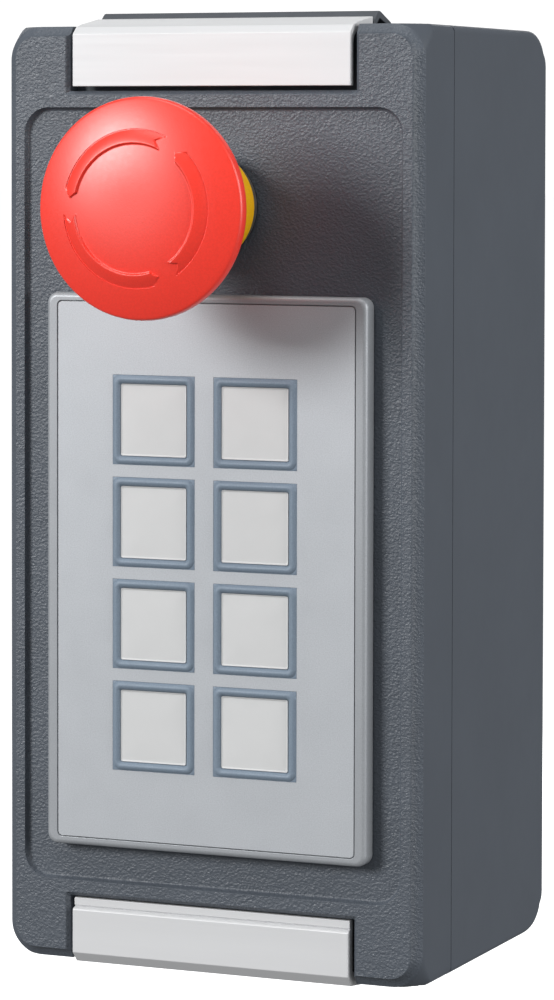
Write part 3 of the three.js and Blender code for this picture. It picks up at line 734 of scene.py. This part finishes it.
def cable_plate():
    """The blanking plate, with a countersunk hole for each screw."""
    thick = (PLATE_LO[1], PLATE_HI[1])
    plate = slab("cable_plate_cover", PLATE_W, PLATE_H, PLATE_R, *thick, 10, z=PLATE_Z)
    hole = [(0, -9), (1.8, -9), (1.8, -0.9), (3.3, -0.9), (3.3, 1), (0, 1)]
    carve(plate, *[turned("hole", hole, 28, x, z) for x, z in PLATE_SCREW_PLACES])
    soften(plate, 0.3)
    finish(plate, "housing_rear", "cable_plate")


front_shell()
rear_shell()
cable_plate()

# ------------------------------------------------------------------ cover strips and rails

STRIP_Y = STRIP_LO[1]
STRIP_BACK_Y = STRIP_HI[1]
STRIP_WALL = 2.2
EDGE_Z = 130.8
CREST_Z = STRIP_HI[2]
UNDER_Z = CHANNEL_Z + 0.3
BAND_Z = 115.2  # lower edge of the bottom strip's set-back band


def snap_lugs(side):
    """Lugs behind a strip that grip the pocket."""
    z0, z1 = sorted((side * (EDGE_Z - 12), side * (EDGE_Z - 6)))
    front, back = STRIP_Y + STRIP_WALL - 0.5, POCKET_BACK_Y - 0.3
    return [block("lug", (x - 4, front, z0), (x + 4, back, z1)) for x in (-14, 14)]


def top_strip():
    y = STRIP_Y
    inner = y + STRIP_WALL
    section = [(y, STRIP_LO[2]), (y, EDGE_Z)]
    section += [(y + 2.2, EDGE_Z + 2.0), (y + 5.6, EDGE_Z + 2.9)]
    section += [(STRIP_BACK_Y, CREST_Z), (STRIP_BACK_Y, UNDER_Z)]
    section += [(POCKET_BACK_Y - 0.6, UNDER_Z), (inner + 0.6, EDGE_Z - 1.2)]
    section += [(inner, EDGE_Z - 3), (inner, STRIP_LO[2])]
    strip = bar("top_strip", section, STRIP_LO[0], STRIP_HI[0])
    weld(strip, *snap_lugs(1))
    soften(strip, 0.22, angle=14)
    finish(strip, "satin_aluminium", "top_cover_strip")


def bottom_strip():
    """The lower strip, with a set-back band and a fine groove above its main face."""
    y = STRIP_Y
    inner = y + STRIP_WALL + 1.2
    section = [(y + 1.2, BAND_Z), (y + 1.2, 117.35), (y + 1.75, 117.6), (y + 1.2, 117.85)]
    section += [(y + 0.35, 118.1), (y, 118.5), (y, EDGE_Z), (y + 2.6, EDGE_Z + 2.9)]
    section += [(STRIP_BACK_Y, CREST_Z), (STRIP_BACK_Y, UNDER_Z)]
    section += [(POCKET_BACK_Y - 0.6, UNDER_Z), (inner + 0.2, EDGE_Z - 1.2)]
    section += [(inner, EDGE_Z - 3), (inner, BAND_Z)]
    strip = bar("bottom_strip", section, STRIP_LO[0], STRIP_HI[0], mirror=True)
    weld(strip, *snap_lugs(-1))
    soften(strip, 0.16, angle=14)
    finish(strip, "satin_aluminium", "bottom_cover_strip")


def roof_rail(name, node, mirror):
    """A roof-shaped rail with a rounded crest, hollow underneath."""
    front, rear, crest = RAIL_LO[1], RAIL_HI[1], RAIL_HI[2]
    peak, foot, leg = front + 4, RAIL_LO[2], 2.0
    section = [(front, foot), (front, foot + 0.9)]
    section += [(peak - 1.0, crest - 0.35), (peak - 0.5, crest - 0.08), (peak, crest)]
    section += [(peak + 0.7, crest - 0.06), (peak + 1.4, crest - 0.28)]
    section += [(rear, foot + 0.8), (rear, foot), (rear - 2.6, foot)]
    section += [(peak + 0.3, crest - leg), (front + leg, foot)]
    rail = bar(name, section, RAIL_LO[0], RAIL_HI[0], mirror=mirror)
    soften(rail, 0.2, angle=20)
    finish(rail, "rail", node)


top_strip()
bottom_strip()
roof_rail("top_roof_rail", "top_rail", False)
roof_rail("bottom_roof_rail", "bottom_rail", True)

# ------------------------------------------------------------------ keypad

KEY_COUNT = 8
KEY_NODES = [f"key_cap_{i + 1}" for i in range(KEY_COUNT)]
KEY_SIZE = span(KEY_NODES[0])[1][0] - span(KEY_NODES[0])[0][0]
WINDOW_SIZE = span("key_window_1")[1][0] - span("key_window_1")[0][0]
RIDGE = (KEY_SIZE - WINDOW_SIZE) / 2 - 0.3
TRAY_SIZE = KEY_SIZE - 2 * RIDGE  # space inside a key's ridge
FOIL_Y = FOIL_LO[1]
PRINT_GAP = 0.04  # between the foil and a key's printed edge
BEZEL_EDGE_R = 1.35
BEZEL_CORNER_R = 3.0
BEZEL_REAR_DEPTH = 3.4  # the bezel is a thin plate down to this depth


def key_centre(node):
    low, high = span(node)
    return (low[0] + high[0]) / 2, (low[2] + high[2]) / 2


def key_cutters(y0, y1, size, r):
    """A square cutter for each key."""
    return [slab("key_hole", size, size, r, y0, y1, 4, *key_centre(node)) for node in KEY_NODES]


def keypad_bezel():
    w, h = BEZEL_HI[0] - BEZEL_LO[0], BEZEL_HI[2] - BEZEL_LO[2]
    front, back = BEZEL_LO[1], BEZEL_HI[1]
    rear_y = front + BEZEL_REAR_DEPTH
    radius = BEZEL_EDGE_R
    rings = [
        (w - 2 * inset, h - 2 * inset, BEZEL_CORNER_R - inset * 0.7, front + depth)
        for inset, depth in arc(radius, radius, radius, 270, 180, 8)
    ]
    rings.append((w, h, BEZEL_CORNER_R, back))
    bezel = loft("bezel_frame", rings, 12, z=KEYPAD_Z)
    seat_w, seat_h = FOIL_HI[0] - FOIL_LO[0] + 0.6, FOIL_HI[2] - FOIL_LO[2] + 0.6
    cutters = [
        slab("seat", seat_w, seat_h, 1.4, front - 1, FOIL_HI[1] + 0.3, 8, z=KEYPAD_Z),
        slab("rear", CUTOUT_W, CUTOUT_H, CUTOUT_R, rear_y, back + 1, 6, z=KEYPAD_Z),
    ]
    carve(bezel, *cutters, *key_cutters(front - 1, back + 1, KEY_SIZE + 0.6, 1.4))
    soften(bezel, 0.14, 2, 40)
    finish(bezel, "keypad_bezel", "keypad_bezel")


def keypad_foil():
    w, h = FOIL_HI[0] - FOIL_LO[0], FOIL_HI[2] - FOIL_LO[2]
    foil = slab("front_foil", w, h, 1.2, FOIL_Y, FOIL_HI[1], 8, z=KEYPAD_Z)
    carve(foil, *key_cutters(FOIL_Y - 1, FOIL_HI[1] + 1, KEY_SIZE + 2 * PRINT_GAP, 0.1))
    soften(foil, 0.05, 2, 40)
    finish(foil, "keypad_foil", "keypad_foil")


def ridge_rings(height):
    """Rings of a key's rounded ridge, from the foil over its crest to the window."""
    steps, flat = 10, 0.12
    rings = []
    for i in range(steps + 1):
        part = i / steps
        size = KEY_SIZE - 2 * (flat + (RIDGE - flat) * part)
        rise = height * math.sin(math.pi * part) ** 0.75
        sink = 0.25 * part ** 3
        rings.append((size, size, 2.3 * (1 - part) + 0.5 * part, FOIL_Y - rise + sink))
    return rings


def key_ridge(number):
    """A key's printed square with a rounded ridge round its window."""
    node = f"key_cap_{number}"
    x, z = key_centre(node)
    low, high = span(node)
    tray_y, back_y = low[1] + 2.1, low[1] + 2.9
    printed = KEY_SIZE - 0.06
    rings = [
        (KEY_SIZE, KEY_SIZE, 0.15, back_y),
        (KEY_SIZE, KEY_SIZE, 0.15, FOIL_Y + 0.03),
        (printed, printed, 0.15, FOIL_Y),
    ]
    rings += ridge_rings(FOIL_Y - low[1])
    rings += [(TRAY_SIZE, TRAY_SIZE, 0.5, y) for y in (FOIL_Y + 1.5, back_y)]
    ridge = loft(f"key_ridge_{number}", rings, 8, x, z, closed=True)
    stem = rod("stem", 2.5, low[1] + 2.5, high[1], 32, x, z)
    back = slab("back", TRAY_SIZE + 1, TRAY_SIZE + 1, 0.6, tray_y, back_y, 8, x, z)
    weld(ridge, back, stem)
    soften(ridge, 0.0)
    finish(ridge, "key_frame", node, f"key_{number}")


def key_lens_piece(number):
    """The translucent window, with its edge turned up against the ridge."""
    node = f"key_window_{number}"
    x, z = key_centre(f"key_cap_{number}")
    size = TRAY_SIZE - 0.06
    front = FOIL_Y + 0.16
    edge = [(0, 0.5, -0.18), (0.16, 0.5, -0.26), (0.5, 0.5, -0.06), (0.8, 0.5, 0.02), (1.4, 0.6, 0)]
    rings = [(size, size, 0.5, span(node)[1][1])]
    rings += [(size - inset, size - inset, radius, front + rise) for inset, radius, rise in edge]
    for part in (0.3, 0.55, 0.8):
        bulge = 0.16 * math.sin(part * math.pi / 2)
        rings.append((size * (1 - part), size * (1 - part), 0.6, front - bulge))
    lens = loft(f"key_lens_{number}", rings, 6, x, z)
    soften(lens, 0.0)
    finish(lens, "key_window", node, f"key_{number}")


keypad_bezel()
keypad_foil()
for key in range(1, KEY_COUNT + 1):
    key_ridge(key)
    key_lens_piece(key)

# ------------------------------------------------------------------ emergency stop

HEAD_R = (HEAD_HI[0] - HEAD_LO[0]) / 2
HEAD_SEGMENTS = 720
RIM_Y = -153.8
DOME_R = HEAD_R - 1.6
DOME_RISE = 4.2
NECK_END_Y = -117.6
NECK_END_R = 7.4
HEAD_BACK_Y = HEAD_HI[1]

ARROW_COUNT = 3
ARROW_INNER, ARROW_OUTER = 17.3, 21.4
ARROW_MIDDLE = (ARROW_INNER + ARROW_OUTER) / 2
ARROW_WIDTH = ARROW_OUTER - ARROW_INNER
# Angles in degrees of the first arrow's notched tail and of its head.
ARROW_TAIL, ARROW_NOTCH, ARROW_SHOULDER, ARROW_POINT = 64.5, 71.5, 165.5, 171.8
ARROW_EDGE = 0.28  # the arrows' ends rise over this length


def smooth_step(value, low, high):
    t = np.clip((value - low) / (high - low), 0, 1)
    return t * t * (3 - 2 * t)


def arrow_relief(radius, angle):
    """How far the raised arrows stand out of the head at a radius and angle, in millimetres."""
    spacing = 360 / ARROW_COUNT
    turn = (np.degrees(angle) - 30) % spacing + 30
    turn = np.where(turn < ARROW_TAIL - 2, turn + spacing, turn)
    lean = np.clip(np.abs(radius - ARROW_MIDDLE) / (ARROW_WIDTH / 2), 0, 1)
    start = ARROW_TAIL + (ARROW_NOTCH - ARROW_TAIL) * (1 - lean)
    end = ARROW_SHOULDER + (ARROW_POINT - ARROW_SHOULDER) * (1 - lean)
    along = np.minimum(turn - start, end - turn) * math.radians(1) * ARROW_MIDDLE
    inside = smooth_step(along, 0, ARROW_EDGE)
    place = np.clip((radius - ARROW_INNER) / ARROW_WIDTH, 0, 1)
    step_up = smooth_step(radius, ARROW_INNER - 0.05, ARROW_INNER + 0.6)
    slope = 0.85 * (1 - place ** 1.6) - 0.32 * place ** 2
    step_out = 1 - smooth_step(radius, ARROW_OUTER - 0.06, ARROW_OUTER + 0.16)
    return inside * step_up * slope * step_out


def dome(radius):
    """The dome's y at a radius, without the arrows."""
    part = np.clip(radius / DOME_R, 0, 1)
    return RIM_Y - 3.6 + DOME_RISE * part ** 2.6


def head_back_profile():
    """Profile (radius, y) from the dome's edge round the rim, along the skirt to the neck."""
    edge_y = float(dome(DOME_R))
    # The rim, as (inset from the head's radius, depth behind the dome's edge).
    rim = [(1.0, 0.24), (0.62, 0.4), (0.34, 0.64), (0.16, 0.98), (0.06, 1.5), (0, 2.5)]
    rim += [(0.04, 3.2), (0.2, 3.75), (0.6, 4.2), (1.3, 4.55)]
    profile = [(HEAD_R - inset, edge_y + depth) for inset, depth in rim]
    skirt_r, skirt_y = HEAD_R - 2.5, edge_y + 5.05
    profile.append((skirt_r, skirt_y))
    waist = 13.6
    for part in np.linspace(0.1, 1, 10):
        radius = waist + (skirt_r - waist) * (1 - part) ** 1.9
        profile.append((radius, skirt_y + 10.5 * part ** 1.15))
    profile += [(13.2, -132), (12.9, -126), (12.6, NECK_END_Y - 0.4), (12.3, NECK_END_Y)]
    profile += [(NECK_END_R, NECK_END_Y), (NECK_END_R, HEAD_BACK_Y - 0.4), (7.0, HEAD_BACK_Y)]
    return profile


def stop_head():
    """Mushroom head: a fine polar grid in front, and turned rim, skirt and neck behind."""
    count = HEAD_SEGMENTS
    angles = np.arange(count) * 2 * math.pi / count
    radii = np.concatenate([
        np.linspace(0.8, ARROW_INNER - 0.6, 26),
        np.arange(ARROW_INNER - 0.5, ARROW_OUTER + 0.6, 0.14),
        np.linspace(ARROW_OUTER + 0.8, DOME_R, 12),
    ])
    vertices = [(0, float(dome(0)), STOP_Z)]
    rows = []
    for radius in radii:
        depths = float(dome(radius)) - arrow_relief(np.full(count, radius), angles)
        rows.append(len(vertices))
        for angle, y in zip(angles, depths):
            vertices.append((radius * math.cos(angle), y, STOP_Z + radius * math.sin(angle)))
    for radius, y in head_back_profile():
        rows.append(len(vertices))
        for angle in angles:
            vertices.append((radius * math.cos(angle), y, STOP_Z + radius * math.sin(angle)))
    last = len(vertices)
    vertices.append((0, HEAD_BACK_Y, STOP_Z))
    faces = []
    for i in range(count):
        j = (i + 1) % count
        faces.append((0, rows[0] + i, rows[0] + j))
        faces.append((last, rows[-1] + j, rows[-1] + i))
        faces += [(a + i, a + j, b + j, b + i) for a, b in zip(rows, rows[1:])]
    head = new_object("mushroom_head", mesh_from("mushroom_head", vertices, faces))
    head.data.shade_smooth()
    head.data.set_sharp_from_angle(angle=math.radians(50))
    finish(head, "signal_red", "estop_head", "estop_button")


COLLAR_BORE_R = 11.2
NOTCH_COUNT = 8
NOTCH_HALF = 1.3
NOTCH_DEPTH = 1.9
RING_BORE_R = 13.5


def stop_collar():
    """Notched collar that clamps the actuator to the panel."""
    outer, inner = (COLLAR_HI[0] - COLLAR_LO[0]) / 2, COLLAR_BORE_R
    front, back = COLLAR_LO[1], COLLAR_HI[1]
    profile = [(inner, front), (outer - 0.9, front), (outer - 0.25, front + 0.3)]
    profile += [(outer, front + 1.0), (outer, back - 0.6), (outer - 0.4, back), (inner, back)]
    collar = turned("notched_collar", profile, 128, z=STOP_Z)
    low = (COLLAR_BORE_R - 0.2, front - 1, -NOTCH_HALF)
    high = (outer + 2, front + NOTCH_DEPTH, NOTCH_HALF)
    cutters = []
    for i in range(NOTCH_COUNT):
        cutter = block("notch", low, high)
        turn = (i + 0.5) * 2 * math.pi / NOTCH_COUNT
        cutter.data.transform(Matrix.Rotation(turn, 4, "Y"))
        cutter.data.transform(Matrix.Translation((0, 0, STOP_Z * MM)))
        cutters.append(cutter)
    carve(collar, *cutters)
    soften(collar, 0.18, 2)
    # Its colour holds painted shade and a painted yellow reflection, darker and warmer than the
    # bare silver.
    finish(collar, "matte_silver", "estop_collar")


def stop_ring():
    outer, inner = (RING_HI[0] - RING_LO[0]) / 2, RING_BORE_R
    front, back = RING_LO[1], RING_HI[1]
    profile = [(inner, front + 0.3), (inner + 0.25, front), (outer - 0.5, front)]
    profile += [(outer - 0.1, front + 0.35), (outer, front + 1)]
    profile += [(outer, back - 0.2), (outer - 0.2, back), (inner, back)]
    ring = turned("yellow_sleeve", profile, 96, z=STOP_Z)
    soften(ring, 0.0)
    finish(ring, "signal_yellow", "estop_yellow_ring")


stop_head()
stop_collar()
stop_ring()

# ------------------------------------------------------------------ inner pieces from the frame

SLOT_OF = {row["node"]: row["material_slot"] for row in frame["record"]["subparts"]}
KEPT_ROUNDING = 0.12


def dress(node, piece):
    """Gives a kept CAD node its procedural material and softened edges."""
    piece.data.materials.clear()
    piece.data.materials.append(MATERIALS[SLOT_OF[node]])
    piece.data.shade_smooth()
    round_off = piece.modifiers.new("round", "BEVEL")
    round_off.width = KEPT_ROUNDING * MM
    round_off.segments = 2
    round_off.limit_method = "ANGLE"
    round_off.angle_limit = math.radians(40)
    round_off.use_clamp_overlap = True
    weights = piece.modifiers.new("normals", "WEIGHTED_NORMAL")
    weights.keep_sharp = True


for name, node_object in frame["nodes"].items():
    dress(name, node_object)

# ------------------------------------------------------------------ floor and light, in metres

FLOOR_HALF = 30.0
FLOOR_DROP = 0.25  # below the object
FLOOR_GLOW = 0.8
SURROUND_STRENGTH = 0.23
BACKDROP_STRENGTH = 1.1

# Each light's place, the point it is aimed at, its side and its power in watts.
LIGHTS = {
    "key_light": ((-1.29, -1.93, 0.81), (0, -0.1, 0.03), 0.83, 46),
    "top_light": ((-0.1, -0.55, 1.6), (0, -0.05, 0.1), 0.9, 9),
    "side_light": ((1.8, -0.25, 0.5), (0, -0.05, 0), 1.2, 24),
    "back_light": ((-0.8, 1.7, 0.4), (0, 0, 0), 1.4, 8),
}


def floor_paint():
    """Near-white paint that also glows, so that it shows as an even white."""
    paint = Paint("pale_floor", 0.8, specular=0.1)
    paint.colour(paint.noise(3, 2), around((0.9, 0.9, 0.9), 0.004))
    paint.shader.inputs["Emission Color"].default_value = (1, 1, 1, 1)
    paint.shader.inputs["Emission Strength"].default_value = FLOOR_GLOW
    return paint.material


def make_floor():
    height = CAD_BOX[0][2] - FLOOR_DROP
    corners = [(sx * FLOOR_HALF, sy * FLOOR_HALF, height) for sx, sy in (
        (-1, -1), (1, -1), (1, 1), (-1, 1),
    )]
    mesh = bpy.data.meshes.new("floor")
    mesh.from_pydata(corners, [], [(0, 1, 2, 3)])
    mesh.materials.append(floor_paint())
    floor = new_object("floor", mesh)
    floor.visible_diffuse = False
    floor.visible_glossy = False


def area_light(name, place, target, side, power):
    data = bpy.data.lights.new(name, "AREA")
    data.shape = "RECTANGLE"
    data.size = data.size_y = side
    data.energy = power
    lamp = bpy.data.objects.new(name, data)
    lamp.location = place
    aim = Vector(target) - Vector(place)
    lamp.rotation_euler = aim.to_track_quat("-Z", "Y").to_euler()
    bpy.context.scene.collection.objects.link(lamp)


def make_world():
    """An even grey for the light, and white behind the object."""
    world = bpy.data.worlds.new("studio")
    bpy.context.scene.world = world
    world.use_nodes = True
    tree = world.node_tree
    surround = tree.nodes["Background"]
    surround.inputs["Color"].default_value = (0.98, 0.99, 1, 1)
    surround.inputs["Strength"].default_value = SURROUND_STRENGTH
    backdrop = tree.nodes.new("ShaderNodeBackground")
    backdrop.inputs["Color"].default_value = (1, 1, 1, 1)
    backdrop.inputs["Strength"].default_value = BACKDROP_STRENGTH
    path = tree.nodes.new("ShaderNodeLightPath")
    choose = tree.nodes.new("ShaderNodeMixShader")
    tree.links.new(path.outputs["Is Camera Ray"], choose.inputs["Fac"])
    tree.links.new(surround.outputs["Background"], choose.inputs[1])
    tree.links.new(backdrop.outputs["Background"], choose.inputs[2])
    tree.links.new(choose.outputs["Shader"], tree.nodes["World Output"].inputs["Surface"])


make_floor()
make_world()
for lamp_name, lamp_setup in LIGHTS.items():
    area_light(lamp_name, *lamp_setup)
bpy.context.scene.view_settings.view_transform = "Standard"
